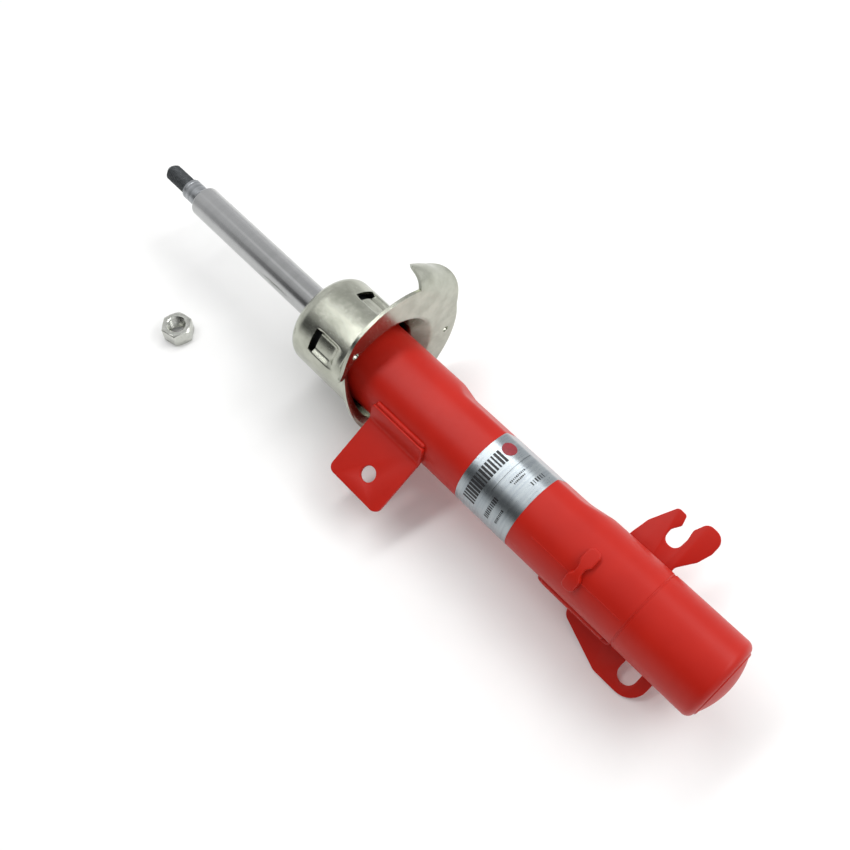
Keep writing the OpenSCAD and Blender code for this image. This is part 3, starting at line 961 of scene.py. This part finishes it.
@dataclass
class Lug:
    """The small dog-bone lug on the tube's front."""

    tube: StrutTube
    height: float = 87.0
    middle: float = 4.0
    half: float = 9.2
    end: float = 4.2
    waist: float = 2.2
    proud: float = 3.6

    def build(self) -> None:
        """Makes the lug as a thick rounded blank laid on the tube."""
        neck = self.end * 1.1
        side = [(-self.half - self.end, -self.end, 3.2), (-self.half + neck, -self.end, 2.6),
                (-self.half + neck + 2.5, -self.waist, 3), (self.half - neck - 2.5, -self.waist, 3),
                (self.half - neck, -self.end, 2.6), (self.half + self.end, -self.end, 3.2)]
        blank = rounded(side + [(x, -y, r) for x, y, r in reversed(side)], steps=7)

        def wrap(flat: np.ndarray) -> np.ndarray:
            """Lays the blank across the tube's front."""
            return around((self.middle + flat[:, 0]) / self.tube.radius, self.tube.radius + flat[:, 2],
                          self.height + flat[:, 1])

        lug = cut_sheet("lug_dogbone", blank, [], 2 * self.proud, 0.8, wrap, np.linspace(-12, 12, 25))
        painted(lug, "locating_lug")


@dataclass
class FoilLabel:
    """The brushed foil label and its generic print: bars, a rule and a plain disc."""

    tube: StrutTube
    low: float = 132.6
    high: float = 173.7
    sides: tuple[float, float] = (-112.0, 108.0)
    film: float = 0.12
    disc: tuple[float, float, float] = (-19.5, 164.0, 4.6)
    # each row's name, span, height, middle, count, widths and seed
    rows: tuple[tuple, ...] = (
        ("wide_bars", (22, -13), 9.0, 163.5, 15, (0.9, 2.0), 11),
        ("code_dashes", (23, 8), 3.2, 149.0, 10, (0.7, 1.3), 4),
        ("small_dashes", (21, 11), 1.7, 142.0, 9, (0.5, 1.0), 6),
        ("note_a", (-5, -16), 1.1, 149.0, 10, (0.5, 0.9), 7),
        ("note_b", (-6, -14), 1.1, 146.8, 8, (0.5, 0.9), 8),
        ("tick_marks", (-13, -22), 2.8, 139.8, 6, (0.5, 1.1), 9),
        ("rule", (6.0, -27.0), 0.22, 154.0, 56, (0.62, 0.66), 2),
    )

    def wrap(self, lift: float) -> Mapper:
        """A mapper that lays a blank on the tube's skin.

        Args:
            lift: Height of the blank's middle above the skin.

        Returns:
            The mapper, with u round the tube and v up the axis.
        """
        def mapper(flat: np.ndarray) -> np.ndarray:
            """Lays the blank on the skin."""
            angle = flat[:, 0] / self.tube.radius
            return around(angle, self.tube.skin(angle, flat[:, 1], lift + flat[:, 2]), flat[:, 1])

        return mapper

    def build(self) -> None:
        """Makes the foil, then prints on it."""
        u0, u1 = (math.radians(s) * self.tube.radius for s in self.sides)
        blank = rounded([(u0, self.low, 1.5), (u1, self.low, 1.5), (u1, self.high, 1.5),
                         (u0, self.high, 1.5)])
        foil = cut_sheet("label_foil", blank, [], self.film, 0.03, self.wrap(self.film / 2 + 0.02),
                         np.linspace(u0 + 1, u1 - 1, 110))
        settle(foil, STRUT, "label_foil", FOIL, "rating_label")
        self.print_marks()

    def bars(self, tree: bpy.types.NodeTree, name: str, span: tuple[float, float], height: float,
             at: float, count: int, widths: tuple[float, float], seed: int) -> bpy.types.Object:
        """A row of printed bars.

        Args:
            tree: The tree that makes it.
            name: The object's name.
            span: Where the row starts and ends, measured round the tube.
            height: Height of the bars, along the axis.
            at: Where the row's middle is, up the axis.
            count: Number of bars.
            widths: Width of the narrowest and the widest bar.
            seed: Seed of the widths.

        Returns:
            The baked row.
        """
        return grow(name, tree, {
            "From": (span[0] * MM, at * MM, 0.0), "To": (span[1] * MM, at * MM, 0.0), "Bars": count,
            "Height": height * MM, "Narrow": widths[0] * MM, "Wide": widths[1] * MM,
            "Skin": (self.tube.radius + self.film + 0.05) * MM, "Film": 0.06 * MM, "Seed": seed,
            "Place": tuple(PLACE.translation), "Turn": PLACE.to_euler()})

    def print_marks(self) -> None:
        """Prints the rows of bars and a red disc."""
        ink = print_tree(INK)
        rows = [self.bars(ink, *row) for row in self.rows]
        settle(joined("label_print", rows), STRUT, "label_foil", INK)
        across, up, radius = self.disc
        disc = cut_sheet("label_disc", circle(across, up, radius), [], 0.08, 0.02,
                         self.wrap(self.film + 0.06), np.linspace(-24, -15, 16))
        settle(disc, STRUT, "label_foil", RED_INK)


@dataclass
class SpringSeat:
    """The zinc-plated pressing that carries the suspension spring's lower end."""

    cup: float = 32.0
    top: float = 323.0
    hole: float = 17.0
    shoulder: float = 9.0
    sheet: float = 2.2
    flange: float = 267.0
    flange_radius: float = 55.0
    flange_shift: float = 8.5
    drawn_in: tuple[float, float, float] = (22.0, 34.0, 7.5)
    flare: float = 9.0
    ramp_sides: tuple[float, float] = (27.0, 144.0)
    ramp_low: float = 110.0
    ramp_hinge: float = 269.8
    ramp_slope: float = 0.6
    ramp_lip: float = 36.8
    stop_sides: tuple[float, float] = (250.0, 301.0)
    stop_full: float = 283.0
    stop_corner: float = 10.0
    stop_at: float = 58.0
    stop_bend: float = 10.0
    stop_sweep: float = 130.0
    curl_steps: int = 16
    pads: tuple[float, ...] = (25.0, 115.0, 205.0, 295.0)
    pad_half: float = 15.5
    pad_depth: float = 3.0
    pad_z: tuple[float, float, float, float] = (280.0, 287.0, 300.0, 303.4)
    gauge_holes: tuple[tuple[float, float], ...] = ((-42.5, -32.0), (1.0, 44.0))
    drill_size: tuple[float, float, float] = (2.3, 255.0, 275.0)

    def directions(self) -> np.ndarray:
        """Column directions, closer together where an edge steps.

        Returns:
            Directions in degrees, in rising order.
        """
        extra = [np.arange(side - 2, side + 2.01, 0.5) for side in self.ramp_sides]
        extra.append(np.arange(self.stop_sides[1] - 9, self.stop_sides[1] + 1.01, 0.3))
        extra += [np.arange(p + s * self.pad_half - 3, p + s * self.pad_half + 3.01, 0.75)
                  for p in self.pads for s in (-1, 1)]
        every = np.concatenate([np.arange(0, 360, 1.5), *extra]) % 360
        return np.unique(every.round(2))

    def in_ramp(self, side: float) -> float:
        """1 where the end ramp takes the flange's place, 0 elsewhere, with a quick step between."""
        return float(smooth(self.ramp_sides[0] - 0.8, self.ramp_sides[0] + 0.8, side)
                     * (1 - smooth(self.ramp_sides[1] - 0.8, self.ramp_sides[1] + 0.8, side)))

    def rim(self, side: float) -> float:
        """The flange's radius in a direction: an offset circle, kept clear of the bench.

        Args:
            side: Direction in degrees.

        Returns:
            The radius from the strut's axis.
        """
        a = math.radians(side)
        reach = -self.flange_shift * math.sin(a) + math.sqrt(
            self.flange_radius ** 2 - (self.flange_shift * math.cos(a)) ** 2)
        down = math.sin(a) * math.sin(-TURN) - math.cos(a) * math.cos(TURN)
        if down > 0.2:
            reach = min(reach, BENCH_DROP / down)
        middle, half, depth = self.drawn_in
        reach -= depth * float(1 - smooth(0, half, turn_between(side, middle)))
        ramp = self.in_ramp(side)
        return reach * (1 - ramp) + self.ramp_lip * ramp

    def foot(self, side: float) -> float:
        """Height of the pressing's outer face out on the flange or the end ramp.

        Args:
            side: Direction in degrees.

        Returns:
            The height up the axis.
        """
        low = self.ramp_hinge - self.ramp_slope * self.ramp_lip * math.cos(
            math.radians(side - self.ramp_low)) + self.sheet
        ramp = self.in_ramp(side)
        return self.flange * (1 - ramp) + low * ramp

    def outer_path(self, side: float) -> Outline:
        """The pressing's outer face in a direction, from the top hole down to the rim.

        Args:
            side: Direction in degrees.

        Returns:
            Points of (radius, height), the same number in every direction.
        """
        ramp = self.in_ramp(side)
        foot, flare, corner = self.foot(side), self.flare - 5.5 * ramp, 1.8 - 1.1 * ramp
        z0, z1, z2, z3 = self.pad_z
        wall = [z3, z2, *np.linspace(z2 - 0.8, z1, 7), *np.linspace(z1 - 1, z0, 4)]
        wall += [float(z) for z in np.linspace(z0 - 1, foot + flare + 1.5, 8)]
        path = [*line((self.hole, self.top), (self.cup - self.shoulder - 1, self.top), 1.5)]
        path += arc(self.cup - self.shoulder, self.top - self.shoulder, self.shoulder, 90, 0, 14)
        path += [(self.cup, z) for z in np.linspace(self.top - self.shoulder - 1.5, z3 + 1.5, 5)]
        path += [(self.cup, float(z)) for z in wall]
        start, steps = self.cup + flare + 1 - 0.6 * ramp, self.curl_steps
        path += rounded([(self.cup, foot + flare + 1.3, 0), (self.cup, foot + flare, 1.8),
                         (self.cup + flare, foot, corner), (start, foot, 0)], closed=False, steps=5)[1:]
        curl, bent = self.curl(side)
        flat = self.rim(side)
        knee = min(self.stop_at, start + 0.8 * (flat - start))
        path += [(float(r), foot) for r in np.linspace(start, knee, steps)[1:]]
        length = (flat - knee) * (1 - curl) + bent * curl
        bend = self.stop_bend / max(curl, 0.02)
        for s in np.linspace(0, length, steps)[1:]:
            path.append((knee + bend * math.sin(s / bend), foot + bend * (1 - math.cos(s / bend))))
        return path

    def curl(self, side: float) -> tuple[float, float]:
        """How much of the coil stop's curl a direction has, and the curl's length along the sheet.

        Args:
            side: Direction in degrees.

        Returns:
            A share from 0 to 1, and a length in millimetres.
        """
        first, last = self.stop_sides
        share = float(smooth(first, self.stop_full, side) * (side <= last))
        length = math.radians(self.stop_sweep) * self.stop_bend
        inset = self.stop_corner - math.radians(last - side) * self.stop_at
        if 0 < inset <= self.stop_corner:
            length -= self.stop_corner - math.sqrt(self.stop_corner ** 2 - inset ** 2)
        return share, length

    def from_pad(self, side: float) -> float:
        """Degrees from a direction to the middle of the nearest pad."""
        return min(turn_between(side, p) for p in self.pads)

    def pressed(self, side: float, r: float, z: float) -> float:
        """How far the wall is pressed in at a place on the cup.

        Args:
            side: Direction in degrees.
            r: Radius of the wall before it is pressed.
            z: Height.

        Returns:
            The depth, 0 outside the pads.
        """
        away = self.from_pad(side)
        z0, z1, z2 = self.pad_z[:3]
        if r < self.cup - 0.01 or z > z2 + 0.01 or z < z0:
            return 0.0
        return float(self.pad_depth * (1 - smooth(self.pad_half - 5.5, self.pad_half + 1.5, away))
                     * smooth(z0, z1, z))

    def build(self) -> None:
        """Makes the pressing as a shell of columns, thickens it and drills its small holes."""
        sides = self.directions()
        paths = [self.outer_path(s) for s in sides]
        rows = len(paths[0])
        points = []
        for side, path in zip(sides, paths):
            a = math.radians(side)
            for r, z in path:
                r -= self.pressed(side, r, z)
                points.append((r * math.sin(a), r * math.cos(a), z))
        z2, z3 = self.pad_z[2:]
        heights = [z for _, z in paths[0]]
        slot = min(range(rows - 1), key=lambda k: abs(heights[k] - z3) + abs(heights[k + 1] - z2))
        faces = []
        for i, side in enumerate(sides):
            j = (i + 1) % len(sides)
            open_slot = self.from_pad(side) < self.pad_half - 1.0
            past_stop = side <= self.stop_sides[1] < sides[j]
            for k in range(rows - 1):
                # the slot above each pad, and the cut that frees the coil stop's end
                if (k == slot and open_slot) or (k > rows - self.curl_steps and past_stop):
                    continue
                faces.append((i * rows + k, i * rows + k + 1, j * rows + k + 1, j * rows + k))
        seat = new_object("spring_seat_pressing", to_row(np.array(points)), faces)
        self.face_out(seat)
        thick = seat.modifiers.new("sheet", "SOLIDIFY")
        thick.thickness, thick.offset = self.sheet * MM, -1
        seat = tidy_mesh(baked(seat), merge=2e-6, crease=40)
        self.drill(seat)
        settle(seat, STRUT, "zinc_plate", ZINC, "spring_seat")

    def face_out(self, seat: bpy.types.Object) -> None:
        """Points the open shell's faces away from the cup's inside.

        Args:
            seat: The shell.
        """
        cup = min(seat.data.polygons, key=lambda p: abs(p.center.x - (self.top - 15 - CLAMP_MID) * MM))
        outward = Vector((0, cup.center.y, cup.center.z))
        if cup.normal.dot(outward) < 0:
            seat.data.flip_normals()

    def drill(self, seat: bpy.types.Object) -> None:
        """Cuts the two small holes through the flange.

        Args:
            seat: The pressing.
        """
        r, low, high = self.drill_size
        tools = []
        for x, y in self.gauge_holes:
            def shift(points: np.ndarray, dx: float = x, dy: float = y) -> np.ndarray:
                """Puts a drill where its hole is."""
                return to_row(points + np.array([dx, dy, 0]))

            tools.append(lathe("drill", [(0, low), (r, low), (r, high), (0, high)], 24, place=shift))
        tool = joined("drills", tools)
        carve(seat, tool)
        baked(seat)
        bpy.data.objects.remove(tool)
        tidy_mesh(seat, crease=40)


@dataclass
class PistonRod:
    """The chromed rod with its turned shank and rolled, phosphated stud."""

    radius: float = 11.0
    spigot: float = 6.0
    spigot_low: float = 178.0
    low: float = 218.0
    groove: tuple[float, float, float] = (278.5, 281.0, 9.8)
    shoulder: float = 452.4
    shank: float = 7.5
    shank_length: float = 15.2
    stud: float = 6.0
    stud_length: float = 22.4

    def build(self) -> None:
        """Makes the rod, its shank and the stud with its thread."""
        g0, g1, gr = self.groove
        r, top = self.radius, self.shoulder
        foot, end = self.spigot, self.spigot_low
        body = rounded([(0, end, 0), (foot, end, 0.8), (foot, self.low, 0.2), (r, self.low, 0.8),
                        (r, g0, 0), (gr, g0, 0), (gr, g1, 0), (r, g1, 0), (r, top - 1.4, 0.8),
                        (r - 1.3, top, 0.3), (0, top, 0)], closed=False, steps=4)
        rod = lathe("rod_chrome", body, 128)
        settle(rod, ROD, "hard_chrome", CHROME, "piston_rod")
        s, high = self.shank, top + self.shank_length
        shank = rounded([(0, top - 0.5, 0), (s - 0.7, top - 0.5, 0), (s - 0.7, top + 1.6, 0.3),
                         (s, top + 2.1, 0.2), (s, high - 4.2, 0.2), (s - 0.35, high - 3.9, 0.1),
                         (s - 0.35, high - 3.3, 0.1), (s, high - 3.0, 0.2), (s, high - 1.0, 0.3),
                         (s - 1.0, high, 0.2), (0, high, 0)], closed=False, steps=4)
        settle(lathe("rod_shank", shank, 96), ROD, "hard_chrome", TURNED)
        self.build_stud(high)

    def build_stud(self, low: float) -> None:
        """Makes the stud's core and winds its thread.

        Args:
            low: Where the stud leaves the shank.
        """
        root = self.stud - 0.55
        high = low + self.stud_length
        core = rounded([(0, low - 0.5, 0), (root - 0.2, low - 0.5, 0), (root - 0.2, low + 1.6, 0.2),
                        (root, low + 2, 0.2), (root, high - 2.2, 0.8), (root - 1.9, high, 0.8),
                        (0, high, 0)], closed=False, steps=5)
        stud = lathe("stud_core", core, 72)
        run = self.stud_length - 4.6
        start = to_row(np.array([[0, 0, low + 2.0]]))[0]
        thread = grow("stud_thread", thread_tree(PHOSPHATE), {
            "Radius": (root + 0.02) * MM, "Turns": run / THREAD_PITCH, "Length": run * MM,
            "Ridge": 0.56 * MM, "Place": start.tolist(), "Turn": Euler((0, math.pi / 2, 0))})
        settle(joined("rod_stud", [stud, thread]), ROD, "hard_chrome", PHOSPHATE)


@dataclass
class StudNut:
    """The loose nut, standing on its face on the bench."""

    flats: float = 19.0
    height: float = 12.0
    bore: float = 5.7
    turn: float = 14.0
    cone_slope: float = 0.55

    def place(self) -> Matrix:
        """The nut's place.

        Returns:
            A matrix that puts the middle of its foot where the CAD nut's is.
        """
        low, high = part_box("rod_nut")
        return (Matrix.Translation(((low.x + high.x) / 2, (low.y + high.y) / 2, low.z))
                @ Matrix.Rotation(math.radians(self.turn), 4, "Z"))

    def build(self) -> None:
        """Cuts the hexagon by its two end cones and winds the thread in its bore."""
        place = self.place()
        full = self.flats / math.sqrt(3)
        h, edge = self.height, self.flats / 2
        corners = [(full * math.cos(math.radians(60 * k)), full * math.sin(math.radians(60 * k)), 0.4)
                   for k in range(6)]
        outline = rounded(corners, steps=4)
        count = len(outline)
        points = np.array([(x, y, z) for z in (0, h) for x, y in outline])
        faces = [(k, (k + 1) % count, count + (k + 1) % count, count + k) for k in range(count)]
        faces += [tuple(range(count))[::-1], tuple(range(count, 2 * count))]

        def stand(local: np.ndarray) -> np.ndarray:
            """Stands the nut's own points on the bench."""
            matrix = np.array(place)
            return (local * MM) @ matrix[:3, :3].T + matrix[:3, 3]

        nut = tidy_mesh(new_object("nut_hexagon", stand(points), faces))
        out, rise = edge + 3, 3.4 * self.cone_slope
        cones = lathe("cones", [(0, 0), (edge - 0.4, 0), (out, rise), (out, h - rise), (edge - 0.4, h),
                                (0, h)], 96, place=stand)
        wide = self.bore + 1.0
        drill = lathe("bore", [(0, -1), (wide + 1.0, -1), (self.bore, 1.0), (self.bore, h - 1.0),
                               (wide + 1.0, h + 1), (0, h + 1)], 64, place=stand)
        carve(nut, cones, "INTERSECT")
        carve(nut, drill)
        soften = nut.modifiers.new("edges", "BEVEL")
        soften.width, soften.segments, soften.limit_method = 0.25 * MM, 2, "ANGLE"
        soften.angle_limit = math.radians(25)
        baked(nut)
        for tool in (cones, drill):
            bpy.data.objects.remove(tool)
        tidy_mesh(nut, crease=30)
        start, run = stand(np.array([[0, 0, 1.2]]))[0], h - 2.6
        thread = grow("nut_thread", thread_tree(NUT_ZINC), {
            "Radius": (self.bore + 0.15) * MM, "Turns": run / THREAD_PITCH, "Length": run * MM,
            "Ridge": 0.55 * MM, "Place": start.tolist(), "Turn": Euler((0, 0, 0))})
        settle(joined("stud_nut", [nut, thread]), NUT, "zinc_plate", NUT_ZINC, "rod_nut")


@dataclass
class Studio:
    """A pale bench, soft lights and the camera."""

    azimuth: float = 226.88
    elevation: float = 61.83
    target: tuple[float, float, float] = (0.1938, 0.0088, 0.0)
    distance: float = 0.6141
    lens: float = 42.62
    bench_half: float = 12.0
    bench_gap: float = 0.0002
    # each light's name, place from the target, size and power
    lamps: tuple[tuple, ...] = (("key", (0.37, -0.03, 1.0), (1.5, 0.16), 6.5),
                                ("fill", (-0.5, -0.6, 0.9), (0.9, 0.5), 6.0))
    # degrees from overhead towards the tab's side, and how bright the room is there
    room: tuple[tuple[float, float], ...] = (
        (-180, 1.0), (-88, 1.0), (-45, 0.62), (-12, 0.52), (0, 0.9), (14, 0.5), (44, 0.4), (56, 0.06),
        (78, 0.06), (92, 1.0), (180, 1.0))

    def back(self) -> Vector:
        """The direction from the target to the camera."""
        a, e = math.radians(self.azimuth), math.radians(self.elevation)
        return Vector((math.sin(a) * math.cos(e), -math.cos(a) * math.cos(e), math.sin(e)))

    def build(self) -> None:
        """Makes the bench, the lights, the surround and the camera."""
        scene = bpy.context.scene
        camera = linked("camera", bpy.data.cameras.new("camera"))
        camera.data.lens, camera.data.sensor_width = self.lens, 36.0
        camera.location = Vector(self.target) + self.back() * self.distance
        camera.rotation_euler = self.back().to_track_quat("Z", "Y").to_euler()
        camera.data.clip_start, camera.data.clip_end = 0.01, 20
        scene.camera = camera
        scene.view_settings.view_transform = "Standard"
        self.bench()
        for lamp in self.lamps:
            self.light(*lamp)
        self.surround()

    def bench(self) -> None:
        """The pale floor that the strut lies on."""
        half, z = self.bench_half, -BENCH_DROP * MM - self.bench_gap
        corners = np.array([(-half, -half, z), (half, -half, z), (half, half, z), (-half, half, z)])
        floor = new_object("bench", corners, [(0, 1, 2, 3)])
        paper = Finish("matt_white_paper", "#F4F4F3", "#F1F1F0", 60.0, 0.0, (0.85, 0.9), 0.5, 0.005, 0.05)
        dress(floor, paper)

    def light(self, name: str, at: tuple[float, float, float], size: tuple[float, float],
              power: float) -> None:
        """A soft rectangular light that faces the strut.

        Args:
            name: The light's name.
            at: Where it hangs, from the target, in metres.
            size: Its length and width, in metres.
            power: Its power, in watts.
        """
        lamp = bpy.data.lights.new(name, "AREA")
        lamp.shape, lamp.size, lamp.size_y, lamp.energy = "RECTANGLE", *size, power
        obj = linked(name, lamp)
        obj.location = Vector(at) + Vector(self.target)
        obj.rotation_euler = Vector(at).to_track_quat("Z", "Y").to_euler()

    def surround(self) -> None:
        """A room that changes round the strut's axis and is plain towards its two ends.

        It is pale at the sides and below, and greyer overhead, with a bright strip straight above. A
        dark screen stands low on the tab's side.
        """
        world = bpy.data.worlds.new("room")
        bpy.context.scene.world = world
        world.use_nodes = True
        tree = world.node_tree
        tree.nodes.clear()
        place = add_node(tree, "ShaderNodeTexCoord")
        parts = add_node(tree, "ShaderNodeSeparateXYZ", links={"Vector": (place, "Generated")})
        angle = add_math(tree, "ARCTAN2", (parts, "Y"), (parts, "Z"))
        turn = add_node(tree, "ShaderNodeMapRange", {"From Min": -math.pi, "From Max": math.pi},
                        {"Value": (angle, "Value")})
        shade = add_node(tree, "ShaderNodeValToRGB", links={"Fac": (turn, "Result")})
        shade.color_ramp.interpolation = "EASE"
        stops = shade.color_ramp.elements
        for _ in range(len(self.room) - 2):
            stops.new(0.5)
        for stop, (degrees, level) in zip(stops, self.room):
            stop.position = (degrees + 180) / 360
            stop.color = (level, level, level * 1.01, 1)
        # towards either end of the axis the room is plain
        ends = add_math(tree, "ABSOLUTE", (parts, "X"))
        plain = add_node(tree, "ShaderNodeMapRange", {"From Min": 0.5, "From Max": 0.8},
                         {"Value": (ends, "Value")}, interpolation_type="SMOOTHSTEP")
        walls = add_node(tree, "ShaderNodeMix", {"B": (0.9, 0.9, 0.91, 1)},
                         {"Factor": (plain, "Result"), "A": (shade, "Color")}, data_type="RGBA")
        sky = add_node(tree, "ShaderNodeBackground", links={"Color": (walls, "Result")})
        add_node(tree, "ShaderNodeOutputWorld", links={"Surface": (sky, "Background")})


def main() -> None:
    """Builds the studio, then each sub-assembly, and dresses the CAD nodes that stay."""
    logging.basicConfig(level=logging.INFO, format="%(name)s: %(message)s")
    Studio().build()
    tube = StrutTube()
    for part in (tube, LinkTab(tube), HoseBracket(tube), Lug(tube), FoilLabel(tube), SpringSeat(),
                 PistonRod(), StudNut()):
        part.build()
    for node, finish in CARRIED_OVER.items():
        dress(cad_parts[node], finish)


if __name__ == "__main__":
    main()
